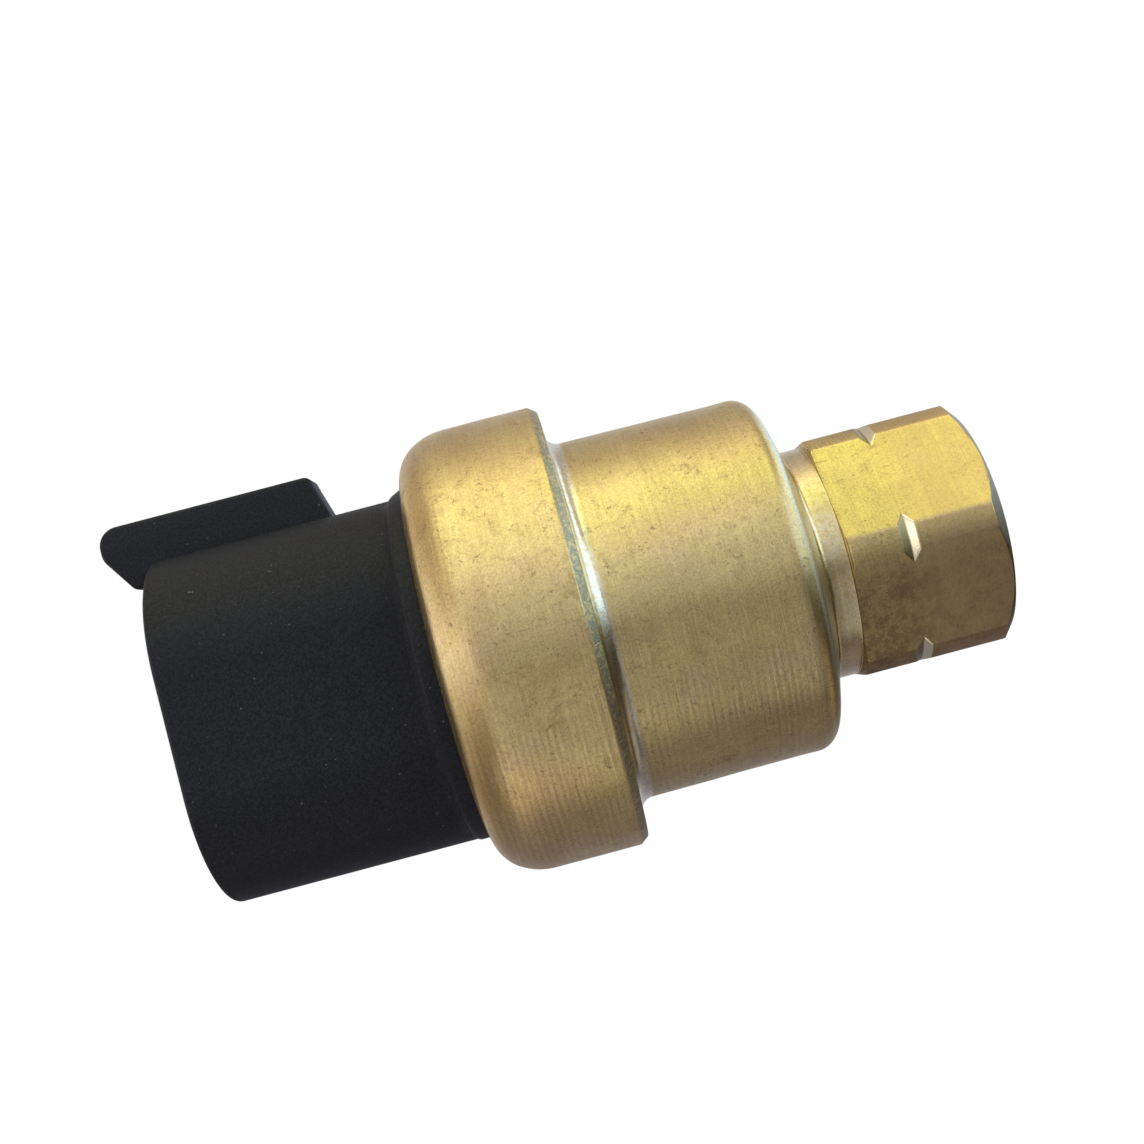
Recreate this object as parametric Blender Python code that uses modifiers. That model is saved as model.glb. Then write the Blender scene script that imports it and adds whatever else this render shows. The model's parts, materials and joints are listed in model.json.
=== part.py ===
"""Pressure switch: hex port fitting, drawn body, snap-disc cell, crimp ring and two-way plug connector.

+Z runs along the axis from the port to the connector. The origin is the centre of the hex's end face.
Sizes are in millimetres up to the point where a mesh is made, which is in metres.
"""

import math

import bmesh
import bpy
from mathutils import Matrix

MM = 0.001
GAP = 0.3
FINE_STEPS = 40
STEPS = 24
SMALL_STEPS = 16

# Port fitting: hex, neck and the spigot that is swaged inside the body.
HEX_ACROSS_FLATS = 15.875
HEX_CORNER_R = 8.71
HEX_TOP = 10.2
HEX_TURN_DEG = 0.81
HEX_CHAMFER = 0.8
HEX_END_R = 7.8
NOTCH_Z = 6.36
NOTCH_HALF = 0.5
NOTCH_R = 8.42
NECK_R = 7.9
NECK_TOP = 11.5
SPIGOT_R = 5.0
SWAGE_R = 6.3
SWAGE_Z = 14.3
SWAGE_TOP = 15.1
BORE_R = 4.95
BORE_MOUTH_R = 5.85
BORE_DEPTH = 9.2
PASSAGE_R = 1.5

# Body: the drawn cup that holds the pressure cell.
BODY_R = 12.25
BODY_WALL = 1.4
BODY_FLOOR = 14.0
BODY_BASE = 11.83
BODY_HOLE_R = 5.3
BODY_CORNER_R = 1.4
BODY_CORNER_Z = 14.19
BODY_END_SLOPE_DEG = 16.9
BODY_STRAIGHT_TOP = 25.9
BODY_THROAT_R = 13.0
FLANGE_R = 13.95
FLANGE_Z = 28.4
FLANGE_TOP = 30.4

# Crimp ring.
RING_R = 15.15
RING_WALL = 0.9
RING_Z = 26.64
RING_LIP_TOP = 28.1
RING_LIP_R = 13.3
RING_CHAMFER_R = 0.44
RING_CHAMFER_Z = 0.57
RING_STRAIGHT_TOP = 33.0
RING_TOP = 36.5
RING_MOUTH_R = 12.5

# Connector housing.
HOUSING_Z = 30.7
BOSS_R = 12.15
BOSS_TOP = 37.7
CHAMBER_R = 10.0
CHAMBER_TOP = 36.4
GROOVE_INNER_R = 10.9
GROOVE_OUTER_R = 12.9
GROOVE_TOP = 31.9
SHROUD_HALF_X = 11.78
SHROUD_HALF_Y = 7.9
SHROUD_X = -0.3
SHROUD_WALL = 1.6
RIM_Z = 54.15
CAVITY_Z = 40.6

# Lock rib on the +X end of the shroud.
RIB_TOP_X = 14.65
RIB_TIP_Z = 57.85
RIB_TIP_RADIUS = 1.35
RIB_NEAR_Y = 0.3
RIB_THICKNESS = 3.2

# Motion of the pressure plate and the pin, and the contact arm that the pin lifts.
PIN_R = 1.2
PIN_TOP = 30.2
ARM_PIVOT_X = -5.0
ARM_Z = 30.5
RIVET_X = -6.8
CONTACT_X = 6.6
ARM_THICKNESS = 0.3

# Two blade terminals.
BLADE_X = 3.8
BLADE_WIDTH = 2.8
BLADE_THICKNESS = 0.8
BLADE_BASE_Z = 40.9
BLADE_TIP_Z = 49.0
BLADE_TAPER = 0.7
SHANK_WIDTH = 2.2
SHANK_THICKNESS = 0.6
FOOT_THICKNESS = 0.8
FOOT_A_Z = 31.2
FOOT_B_Z = 33.6
SLOT_CLEARANCE = 0.1

# Pieces of the pressure cell, all inside the body.
CELL_R = 10.5
RIVET_HOLE_R = 0.9
CONTACT_HOLE_R = 0.85

# Turns a shape drawn in x and y so that it stands in x and z.
UPRIGHT = Matrix(((1, 0, 0, 0), (0, 0, -1, 0), (0, 1, 0, 0), (0, 0, 0, 1)))

COLOURS = {
    "yellow_brass": ((0.62, 0.44, 0.17), 0.32, 1.0),
    "pale_brass": ((0.66, 0.50, 0.25), 0.28, 1.0),
    "black_plastic": ((0.018, 0.018, 0.021), 0.55, 0.0),
    "white_plastic": ((0.72, 0.70, 0.64), 0.5, 0.0),
    "black_rubber": ((0.02, 0.02, 0.02), 0.75, 0.0),
    "amber_film": ((0.55, 0.28, 0.05), 0.3, 0.0),
    "steel": ((0.55, 0.55, 0.56), 0.3, 1.0),
    "copper": ((0.72, 0.38, 0.22), 0.3, 1.0),
    "silver": ((0.82, 0.81, 0.78), 0.25, 1.0),
    "tinned_brass": ((0.70, 0.68, 0.62), 0.35, 1.0),
    "ceramic": ((0.85, 0.83, 0.78), 0.45, 0.0),
}


def clear_scene():
    for thing in list(bpy.data.objects):
        bpy.data.objects.remove(thing, do_unlink=True)


def new_collection(name):
    collection = bpy.data.collections.new(name)
    bpy.context.scene.collection.children.link(collection)
    return collection


def material(name):
    made = bpy.data.materials.get(name)
    if made:
        return made
    colour, roughness, metallic = COLOURS[name]
    made = bpy.data.materials.new(name)
    made.use_nodes = True
    shader = made.node_tree.nodes["Principled BSDF"]
    shader.inputs["Base Color"].default_value = (*colour, 1.0)
    shader.inputs["Roughness"].default_value = roughness
    shader.inputs["Metallic"].default_value = metallic
    return made


def new_object(name, mesh, collection):
    obj = bpy.data.objects.new(name, mesh)
    collection.objects.link(obj)
    return obj


def mesh_from(name, bm):
    mesh = bpy.data.meshes.new(name)
    bm.to_mesh(mesh)
    bm.free()
    return mesh


def freeze(obj):
    """Replaces the object's mesh by the result of its modifiers."""
    bpy.context.view_layer.update()
    graph = bpy.context.evaluated_depsgraph_get()
    mesh = bpy.data.meshes.new_from_object(obj.evaluated_get(graph))
    obj.modifiers.clear()
    obj.data = mesh
    return obj


def finish(obj, material_name):
    obj.data.materials.clear()
    obj.data.materials.append(material(material_name))
    obj.data.shade_smooth()
    obj.data.set_sharp_from_angle(angle=math.radians(32))
    return obj


def arc(centre_r, centre_z, radius, start_deg, end_deg, count):
    """Points (r, z) on a circular arc, both ends included."""
    points = []
    for i in range(count + 1):
        angle = math.radians(start_deg + (end_deg - start_deg) * i / count)
        points.append((centre_r + radius * math.cos(angle), centre_z + radius * math.sin(angle)))
    return points


def turned(name, profile, steps, collection):
    """Solid of revolution about Z from (r, z) points down the outer side. A ring's points close up."""
    on_axis = profile[0][0] == 0.0
    bm = bmesh.new()
    verts = [bm.verts.new((r * MM, 0.0, z * MM)) for r, z in profile]
    for first, second in zip(verts, verts[1:]):
        bm.edges.new((first, second))
    if not on_axis:
        bm.edges.new((verts[-1], verts[0]))
    obj = new_object(name, mesh_from(name, bm), collection)
    screw = obj.modifiers.new("turn", "SCREW")
    screw.axis = "Z"
    screw.steps = steps
    screw.render_steps = steps
    screw.use_merge_vertices = True
    screw.merge_threshold = 1e-6
    return freeze(obj)


def block(name, low, high, collection):
    """Box between two corners in millimetres."""
    bm = bmesh.new()
    bmesh.ops.create_cube(bm, size=1.0)
    size = [(b - a) * MM for a, b in zip(low, high)]
    centre = [(a + b) / 2 * MM for a, b in zip(low, high)]
    bmesh.ops.scale(bm, vec=size, verts=bm.verts)
    bmesh.ops.translate(bm, vec=centre, verts=bm.verts)
    return new_object(name, mesh_from(name, bm), collection)


def prism(name, outline, depth, place, collection):
    """Closed outline in millimetres, extruded along its own +Z by depth and then placed by a matrix."""
    bm = bmesh.new()
    face = bm.faces.new([bm.verts.new((x * MM, y * MM, 0.0)) for x, y in outline])
    raised = bmesh.ops.extrude_face_region(bm, geom=[face])
    moved = [item for item in raised["geom"] if isinstance(item, bmesh.types.BMVert)]
    bmesh.ops.translate(bm, vec=(0.0, 0.0, depth * MM), verts=moved)
    bmesh.ops.transform(bm, matrix=place, verts=bm.verts)
    bmesh.ops.recalc_face_normals(bm, faces=bm.faces)
    return new_object(name, mesh_from(name, bm), collection)


def combine(obj, other, operation):
    """Boolean of obj with other. The other object stays as a hidden cutter."""
    modifier = obj.modifiers.new(operation.lower(), "BOOLEAN")
    modifier.operation = operation
    modifier.solver = "EXACT"
    modifier.object = other
    freeze(obj)
    other.hide_render = True
    other.display_type = "WIRE"
    return obj


def raised(z):
    return Matrix.Translation((0.0, 0.0, z * MM))


def stadium(half_x, half_y, centre_x, count):
    """Outline of an obround: two half circles joined by straight sides."""
    straight = half_x - half_y
    points = []
    for side, start in ((1, -90), (-1, 90)):
        for i in range(count + 1):
            angle = math.radians(start + 180 * i / count)
            x = centre_x + side * straight + half_y * math.cos(angle)
            points.append((x, half_y * math.sin(angle)))
    return points


def hex_prism(name, across_flats, z_low, z_high, collection):
    bm = bmesh.new()
    radius = across_flats / 2 / math.cos(math.radians(30)) * MM
    depth = (z_high - z_low) * MM
    bmesh.ops.create_cone(bm, cap_ends=True, segments=6, radius1=radius, radius2=radius, depth=depth)
    bmesh.ops.rotate(bm, matrix=Matrix.Rotation(math.radians(HEX_TURN_DEG), 3, "Z"), verts=bm.verts)
    bmesh.ops.translate(bm, vec=(0.0, 0.0, (z_low + z_high) / 2 * MM), verts=bm.verts)
    return new_object(name, mesh_from(name, bm), collection)


def port_fitting(parts, cutters):
    profile = [
        (PASSAGE_R, SWAGE_TOP),
        (SWAGE_R, SWAGE_TOP),
        (SWAGE_R, SWAGE_Z),
        (SPIGOT_R, SWAGE_Z),
        (SPIGOT_R, NECK_TOP),
        (NECK_R, NECK_TOP),
        (NECK_R, HEX_TOP),
        (HEX_CORNER_R, HEX_TOP),
        (HEX_CORNER_R, NOTCH_Z + NOTCH_HALF),
        (NOTCH_R, NOTCH_Z),
        (HEX_CORNER_R, NOTCH_Z - NOTCH_HALF),
        (HEX_CORNER_R, HEX_CHAMFER),
        (HEX_END_R, 0.0),
        (BORE_MOUTH_R, 0.0),
        (BORE_R, BORE_MOUTH_R - BORE_R),
        (BORE_R, BORE_DEPTH),
        (PASSAGE_R, BORE_DEPTH),
    ]
    fitting = turned("port_fitting", profile, FINE_STEPS, parts)
    keeper = hex_prism("hex_keeper", HEX_ACROSS_FLATS, -1.0, HEX_TOP + 0.05, cutters)
    above = [(0.0, SWAGE_TOP + 1), (BODY_R, SWAGE_TOP + 1), (BODY_R, HEX_TOP), (0.0, HEX_TOP)]
    combine(keeper, turned("keeper_top", above, SMALL_STEPS, cutters), "UNION")
    combine(fitting, keeper, "INTERSECT")
    return finish(fitting, "yellow_brass")


def port_o_ring(parts):
    section = arc(3.95, 8.15, 0.7, 90, -270, 8)[:-1]
    return finish(turned("port_o_ring", section, STEPS, parts), "black_rubber")


def valve_depressor(parts, cutters):
    """Pin that opens the service valve, on a bar that crosses the bore."""
    profile = [(0.0, 12.5), (1.2, 12.5), (1.2, 8.9), (2.9, 8.9), (2.9, 8.1)]
    profile += [(0.9, 8.1), (0.9, 5.5), (0.6, 5.2), (0.0, 5.2)]
    depressor = turned("valve_depressor", profile, SMALL_STEPS, parts)
    keeper = block("depressor_keeper", (-4, -1.6, 4), (4, 1.6, 13), cutters)
    return finish(combine(depressor, keeper, "INTERSECT"), "steel")


def body_can(parts):
    inner_r = BODY_R - BODY_WALL
    throat = BODY_THROAT_R - BODY_R
    profile = [(inner_r, FLANGE_TOP), (FLANGE_R, FLANGE_TOP), (FLANGE_R, FLANGE_Z), (BODY_THROAT_R, FLANGE_Z)]
    profile += arc(BODY_THROAT_R, BODY_STRAIGHT_TOP, throat, 90, 180, 3)
    corner_end = BODY_END_SLOPE_DEG - 90
    profile += arc(BODY_R - BODY_CORNER_R, BODY_CORNER_Z, BODY_CORNER_R, 0, corner_end, 5)
    profile += [(NECK_R, BODY_BASE), (BODY_HOLE_R, BODY_BASE), (BODY_HOLE_R, BODY_FLOOR)]
    profile += [(inner_r - 0.5, BODY_FLOOR), (inner_r, BODY_FLOOR + 0.5)]
    return finish(turned("body_can", profile, FINE_STEPS, parts), "yellow_brass")


def ring_dome(offset, count):
    """Points down the rounded front of the crimp ring, or of a surface at a constant offset inside it."""
    reach = RING_R - RING_MOUTH_R
    rise = RING_TOP - RING_STRAIGHT_TOP
    points = []
    for i in range(count + 1):
        angle = math.radians(90 - 90 * i / count)
        r = RING_MOUTH_R + (reach - offset) * math.cos(angle)
        points.append((r, RING_STRAIGHT_TOP + (rise - offset) * math.sin(angle)))
    return points


def crimp_ring(parts):
    inner_r = RING_R - RING_WALL
    profile = ring_dome(0.0, 6)
    profile += [
        (RING_R, RING_Z + RING_CHAMFER_Z),
        (RING_R - RING_CHAMFER_R, RING_Z),
        (RING_LIP_R, RING_Z),
        (RING_LIP_R, RING_LIP_TOP),
        (inner_r, RING_LIP_TOP),
    ]
    profile += ring_dome(RING_WALL, 5)[::-1]
    return finish(turned("crimp_ring", profile, FINE_STEPS, parts), "yellow_brass")


def base_seal(parts):
    radius = (GROOVE_INNER_R + GROOVE_OUTER_R) / 2
    section = arc(radius, HOUSING_Z + 0.5, 0.5, 90, -270, 8)[:-1]
    return finish(turned("base_seal", section, STEPS, parts), "black_rubber")


def housing_base(collection):
    """Turned part of the housing: flange under the ring, boss, seal groove and switch chamber."""
    inside = RING_WALL + GAP
    shoulder = RING_TOP - inside
    profile = [(0.0, BOSS_TOP), (BOSS_R - 0.5, BOSS_TOP), (BOSS_R, BOSS_TOP - 0.5), (BOSS_R, shoulder)]
    profile += [point for point in ring_dome(inside, 5) if point[0] > BOSS_R + 0.4]
    profile += [
        (RING_R - inside, HOUSING_Z),
        (GROOVE_OUTER_R, HOUSING_Z),
        (GROOVE_OUTER_R, GROOVE_TOP),
        (GROOVE_INNER_R, GROOVE_TOP),
        (GROOVE_INNER_R, HOUSING_Z),
        (CHAMBER_R, HOUSING_Z),
        (CHAMBER_R, CHAMBER_TOP),
        (0.0, CHAMBER_TOP),
    ]
    return turned("connector_housing", profile, FINE_STEPS, collection)


def lock_rib(collection):
    """Side view of the rib in x and z, with its thickness along y."""
    inner_x = SHROUD_X + SHROUD_HALF_X - SHROUD_WALL
    outer_x = SHROUD_X + SHROUD_HALF_X
    tip_r = RIB_TIP_RADIUS
    outline = [(inner_x + 0.4, 41.5), (outer_x, 41.9), (RIB_TOP_X - 0.6, 42.7), (RIB_TOP_X, 43.2)]
    outline += arc(RIB_TOP_X - tip_r, RIB_TIP_Z - tip_r, tip_r, 0, 110, 5)
    outline += [(11.7, 57.1), (inner_x + 0.2, 56.15), (inner_x + 0.2, RIM_Z - 2)]
    far = (RIB_NEAR_Y + RIB_THICKNESS) * MM
    rib = prism("lock_rib", outline, RIB_THICKNESS, Matrix.Translation((0, far, 0)) @ UPRIGHT, collection)
    bevel = rib.modifiers.new("edges", "BEVEL")
    bevel.width = 0.25 * MM
    bevel.segments = 2
    bevel.limit_method = "ANGLE"
    bevel.angle_limit = math.radians(50)
    return freeze(rib)


def shroud(cutters):
    outline = stadium(SHROUD_HALF_X, SHROUD_HALF_Y, SHROUD_X, 16)
    body = prism("shroud", outline, RIM_Z - BOSS_TOP + 0.6, raised(BOSS_TOP - 0.6), cutters)
    bevel = body.modifiers.new("rim", "BEVEL")
    bevel.width = 0.3 * MM
    bevel.segments = 2
    bevel.limit_method = "ANGLE"
    bevel.angle_limit = math.radians(50)
    return freeze(body)


def connector_housing(parts, cutters):
    housing = housing_base(parts)
    combine(housing, shroud(cutters), "UNION")
    inner = stadium(SHROUD_HALF_X - SHROUD_WALL, SHROUD_HALF_Y - SHROUD_WALL, SHROUD_X, 12)
    cavity = prism("cavity", inner, RIM_Z - CAVITY_Z + 1, raised(CAVITY_Z), cutters)
    combine(housing, cavity, "DIFFERENCE")
    half_width = SHANK_WIDTH / 2 + SLOT_CLEARANCE
    half_thickness = SHANK_THICKNESS / 2 + SLOT_CLEARANCE
    for x in (-BLADE_X, BLADE_X):
        low = (x - half_width, -half_thickness, CHAMBER_TOP - 1)
        high = (x + half_width, half_thickness, CAVITY_Z + 1)
        combine(housing, block("shank_slot", low, high, cutters), "DIFFERENCE")
    combine(housing, lock_rib(cutters), "UNION")
    return finish(housing, "black_plastic")


def cell_gasket(parts):
    profile = [(10.3, 15.3), (10.3, 14.3), (7.0, 14.3), (7.0, 15.3)]
    return finish(turned("cell_gasket", profile, STEPS, parts), "black_rubber")


def diaphragm(parts):
    """Thin film with one rolled corrugation between its clamped edge and its centre."""
    top = [(0.0, 15.85), (5.6, 15.85), (6.2, 16.0), (6.8, 15.85), (10.3, 15.85)]
    under = [(r, z - 0.2) for r, z in reversed(top)]
    return finish(turned("diaphragm", top + under, STEPS, parts), "amber_film")


def clamp_ring(parts):
    profile = [(CELL_R - 0.2, 17.7), (CELL_R, 17.5), (CELL_R, 16.2), (7.4, 16.2), (7.4, 17.7)]
    return finish(turned("clamp_ring", profile, STEPS, parts), "pale_brass")


def pressure_plate(parts):
    profile = [(0.0, 18.2), (2.0, 18.2), (2.4, 17.8), (2.4, 17.4)]
    profile += [(6.7, 17.4), (6.9, 17.2), (6.9, 16.2), (0.0, 16.2)]
    return finish(turned("pressure_plate", profile, STEPS, parts), "steel")


def snap_disc(parts):
    """Dished disc, its centre towards the pressure plate."""
    rim_r = 8.2
    dish = 0.5
    low = 18.5
    top = [(rim_r * i / 4, low + 0.3 + dish * (i / 4) ** 2) for i in range(5)]
    under = [(r, z - 0.3) for r, z in reversed(top)]
    return finish(turned("snap_disc", top + under, STEPS, parts), "steel")


def disc_seat(parts):
    profile = [(CELL_R, 20.6), (CELL_R, 18.0), (8.6, 18.0), (8.6, 19.6), (6.9, 19.6), (6.9, 20.6)]
    return finish(turned("disc_seat", profile, STEPS, parts), "pale_brass")


def pin_guide(parts):
    bore = PIN_R + SLOT_CLEARANCE
    profile = [(bore, 27.4), (3.0, 27.4), (3.4, 27.0), (3.4, 25.2), (CELL_R - 0.3, 25.2)]
    profile += [(CELL_R, 24.9), (CELL_R, 20.9), (6.2, 20.9), (6.2, 22.4), (bore, 22.4)]
    return finish(turned("pin_guide", profile, STEPS, parts), "white_plastic")


def transfer_pin(parts):
    foot = 19.1
    profile = [(0.0, PIN_TOP), (0.8, PIN_TOP), (PIN_R, PIN_TOP - 0.4)]
    profile += [(PIN_R, foot + 0.4), (0.8, foot), (0.0, foot)]
    return finish(turned("transfer_pin", profile, STEPS, parts), "ceramic")


def spacer_sleeve(parts):
    profile = [(CELL_R, 30.4), (CELL_R, 25.5), (9.6, 25.5), (9.6, 30.4)]
    return finish(turned("spacer_sleeve", profile, STEPS, parts), "pale_brass")


def terminal(name, side, foot_z, parts, cutters):
    """Blade on a thinner shank through the housing, with a foot that turns outwards in the chamber."""
    x = side * BLADE_X
    half = BLADE_WIDTH / 2
    tip = half - BLADE_TAPER
    shoulder_z = BLADE_TIP_Z - 1.2
    outline = [(x - half, BLADE_BASE_Z), (x + half, BLADE_BASE_Z), (x + half, shoulder_z)]
    outline += [(x + tip, BLADE_TIP_Z), (x - tip, BLADE_TIP_Z), (x - half, shoulder_z)]
    place = Matrix.Translation((0, BLADE_THICKNESS / 2 * MM, 0)) @ UPRIGHT
    blade = prism(name, outline, BLADE_THICKNESS, place, parts)
    low = (x - SHANK_WIDTH / 2, -SHANK_THICKNESS / 2, foot_z + FOOT_THICKNESS / 2)
    high = (x + SHANK_WIDTH / 2, SHANK_THICKNESS / 2, BLADE_BASE_Z + 1)
    combine(blade, block(name + "_shank", low, high, cutters), "UNION")
    near_x, far_x = sorted((side * 2.4, side * 8.2))
    low = (near_x, -2.2, foot_z)
    high = (far_x, 2.2, foot_z + FOOT_THICKNESS)
    combine(blade, block(name + "_foot", low, high, cutters), "UNION")
    return blade


def rivet_hole(obj, x, z, radius, cutters):
    profile = [(0.0, z + 2), (radius, z + 2), (radius, z - 2), (0.0, z - 2)]
    drill = turned("drill", profile, SMALL_STEPS, cutters)
    drill.location.x = x * MM
    return combine(obj, drill, "DIFFERENCE")


def terminal_a(parts, cutters):
    """Terminal whose foot carries the contact arm on a rivet."""
    blade = terminal("terminal_a", -1, FOOT_A_Z, parts, cutters)
    rivet_hole(blade, RIVET_X, FOOT_A_Z, RIVET_HOLE_R, cutters)
    return finish(blade, "tinned_brass")


def terminal_b(parts, cutters):
    """Terminal whose foot carries the fixed contact."""
    blade = terminal("terminal_b", 1, FOOT_B_Z, parts, cutters)
    rivet_hole(blade, CONTACT_X, FOOT_B_Z, RIVET_HOLE_R, cutters)
    return finish(blade, "tinned_brass")


def contact_spring(parts, cutters):
    """Leaf spring, narrow in the middle, pierced at the rivet and at the moving contact."""
    outline = [(-8.2, -1.9), (-5.2, -1.9), (-4.4, -1.2), (4.4, -1.2), (5.0, -1.6), (8.2, -1.6)]
    outline += [(x, -y) for x, y in reversed(outline)]
    arm = prism("contact_spring", outline, ARM_THICKNESS, raised(ARM_Z), parts)
    rivet_hole(arm, RIVET_X, ARM_Z, RIVET_HOLE_R, cutters)
    rivet_hole(arm, CONTACT_X, ARM_Z, CONTACT_HOLE_R, cutters)
    for vertex in arm.data.vertices:
        vertex.co.x -= ARM_PIVOT_X * MM
        vertex.co.z -= ARM_Z * MM
    arm.location = (ARM_PIVOT_X * MM, 0.0, ARM_Z * MM)
    return finish(arm, "copper")


def moving_contact(parts):
    z = ARM_Z
    profile = [(0.0, z + 0.95), (0.8, z + 0.9), (1.3, z + 0.6), (0.6, z + 0.6), (0.6, z - 0.3)]
    profile += [(1.1, z - 0.3), (1.1, z - 0.6), (0.0, z - 0.6)]
    contact = turned("moving_contact", profile, SMALL_STEPS, parts)
    contact.location.x = CONTACT_X * MM
    return finish(contact, "silver")


def fixed_contact(parts):
    profile = [(0.0, 35.1), (1.1, 35.1), (1.1, 34.7), (0.6, 34.7), (0.6, 33.3)]
    profile += [(1.3, 33.3), (1.3, 33.1), (0.8, 32.9), (0.0, 32.85)]
    contact = turned("fixed_contact", profile, SMALL_STEPS, parts)
    contact.location.x = CONTACT_X * MM
    return finish(contact, "silver")


def spring_rivet(parts):
    profile = [(0.0, 32.7), (1.2, 32.7), (1.2, 32.3), (0.6, 32.3)]
    profile += [(0.6, 30.0), (1.2, 30.0), (1.2, 29.5), (0.0, 29.5)]
    rivet = turned("spring_rivet", profile, SMALL_STEPS, parts)
    rivet.location.x = RIVET_X * MM
    return finish(rivet, "pale_brass")


def build():
    clear_scene()
    parts = new_collection("pressure_switch")
    cutters = new_collection("cutters")
    port_fitting(parts, cutters)
    port_o_ring(parts)
    valve_depressor(parts, cutters)
    body_can(parts)
    crimp_ring(parts)
    base_seal(parts)
    connector_housing(parts, cutters)
    cell_gasket(parts)
    diaphragm(parts)
    clamp_ring(parts)
    pressure_plate(parts)
    snap_disc(parts)
    disc_seat(parts)
    pin_guide(parts)
    transfer_pin(parts)
    spacer_sleeve(parts)
    terminal_a(parts, cutters)
    terminal_b(parts, cutters)
    contact_spring(parts, cutters)
    moving_contact(parts)
    fixed_contact(parts)
    spring_rivet(parts)


build()
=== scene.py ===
"""Looks of the pressure switch: detailed metal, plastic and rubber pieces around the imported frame."""

import json
import math

import bmesh
import bpy
import numpy as np
from mathutils import Matrix, Vector


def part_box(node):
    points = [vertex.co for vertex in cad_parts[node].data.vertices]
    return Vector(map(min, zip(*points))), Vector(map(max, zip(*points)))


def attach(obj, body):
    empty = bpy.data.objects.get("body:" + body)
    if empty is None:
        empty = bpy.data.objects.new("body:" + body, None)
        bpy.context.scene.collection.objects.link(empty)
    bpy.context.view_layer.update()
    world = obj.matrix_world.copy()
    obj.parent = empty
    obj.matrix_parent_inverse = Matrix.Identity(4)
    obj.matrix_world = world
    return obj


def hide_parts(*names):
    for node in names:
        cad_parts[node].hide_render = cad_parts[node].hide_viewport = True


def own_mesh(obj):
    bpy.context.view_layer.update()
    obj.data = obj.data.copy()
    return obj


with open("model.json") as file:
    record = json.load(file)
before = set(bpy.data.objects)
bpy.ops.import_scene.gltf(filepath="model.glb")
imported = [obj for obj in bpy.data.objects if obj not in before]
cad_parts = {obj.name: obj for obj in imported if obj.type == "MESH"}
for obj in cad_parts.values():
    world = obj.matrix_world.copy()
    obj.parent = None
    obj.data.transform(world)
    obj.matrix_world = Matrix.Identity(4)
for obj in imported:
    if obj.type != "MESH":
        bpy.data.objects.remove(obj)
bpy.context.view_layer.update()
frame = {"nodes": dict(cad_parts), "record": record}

MM = 0.001
SWITCH = "switch_body"
SLOTS = {entry["node"]: entry["material_slot"] for entry in frame["record"]["subparts"]}


# ---------------------------------------------------------------- sizes, in millimetres

def node_box(node):
    """The corners of a frame node's box."""
    low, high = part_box(node)
    return low / MM, high / MM


CAN_LOW, CAN_HIGH = node_box("body_can")
RING_LOW, RING_HIGH = node_box("crimp_ring")

HEX_HALF_FLAT = 7.9375
HEX_TURN = math.radians(0.81)
HEX_TOP = 10.2
HEX_R = 8.71
HEX_END_R = 7.8
HEX_CHAMFER = 0.8
HEX_CHAMFER_SLOPE = (HEX_R - HEX_END_R) / HEX_CHAMFER
NOTCH_Z = 6.36
NOTCH_HALF = 0.52
NOTCH_DEPTH = 0.29
NOTCH_SLOPE = NOTCH_DEPTH / NOTCH_HALF
NOTCH_REACH = 0.8
NECK_R = 7.9
FITTING_TOP = 15.1
FITTING_FLANGE_R = 6.3
FITTING_FLANGE_Z = 14.3
FITTING_SPIGOT_R = 5.0
GAS_HOLE_R = 1.5
PORT_DEPTH = 9.2
PORT_COUNTERSINK_R = 5.85
THREAD_PITCH = 1.27
THREAD_MINOR = 4.95
THREAD_DEPTH = 0.56
THREAD_START = 0.9
THREAD_END = 7.6
CAN_BASE = CAN_LOW.z
CAN_R = 12.25
CAN_WALL = 1.4
CAN_CORNER_R = 1.4
CAN_END_SLOPE = math.radians(16.9)
CAN_FLOOR_Z = 14.0
CAN_HOLE_R = 5.3
CAN_FLANGE_R = 13.95
CAN_FLANGE_Z = 28.4
CAN_THROAT_R = 13.28
CAN_FILLET_R = 0.95
CAN_FILLET_TOP = 26.62
RING_R = RING_HIGH.x
RING_BASE = RING_LOW.z
RING_TOP = RING_HIGH.z
RING_SHOULDER = 33.0
RING_MOUTH = 12.5
RING_WALL = 0.9
RING_CHAMFER_R = 0.44
RING_CHAMFER_Z = 0.57
RING_THROAT_R = 13.3
RING_STEP_Z = 28.1
BASE_LOW_Z = 30.7
BASE_CUP_R = 10.0
BASE_CUP_Z = 36.4
BASE_R = 13.9
BASE_GAP = 1.25
BOSS_R = 12.15
BOSS_STEP = 0.25
BOSS_EDGE = 0.4
BOSS_COVE = 0.7
BOSS_TOP = 37.7
RIM_Z = 54.15
SHROUD_X = -0.3
SHROUD_HALF_X = 11.78
SHROUD_HALF_Y = 7.9
SHROUD_WALL = 1.6
RIM_OUTER_EDGE = 0.4
RIM_INNER_EDGE = 0.25
CAVITY_Z = 40.6
CAVITY_EDGE = 0.5
RIB_TOP_X = 14.65
RIB_TIP_Z = 57.85
RIB_TIP_R = 1.35
RIB_HEEL_R = 0.55
RIB_LOW_Z = 41.5
RIB_SIDE_Y = 0.3
RIB_THICKNESS = 3.2
TERMINAL_X = 3.8
BLADE_HALF = 1.4
BLADE_LOW_Z = 40.9
BLADE_TIP_Z = 49.0
BLADE_POINT = 1.2
BLADE_THICKNESS = 0.8
SHANK_HALF = 1.1
SHANK_TOP_Z = 41.8
SHANK_THICKNESS = 0.6
FOOT_FROM_X = 2.4
FOOT_TO_X = 8.2
FOOT_HALF_Y = 2.2
FOOT_THICKNESS = 0.8


# ---------------------------------------------------------------- camera, first

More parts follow.
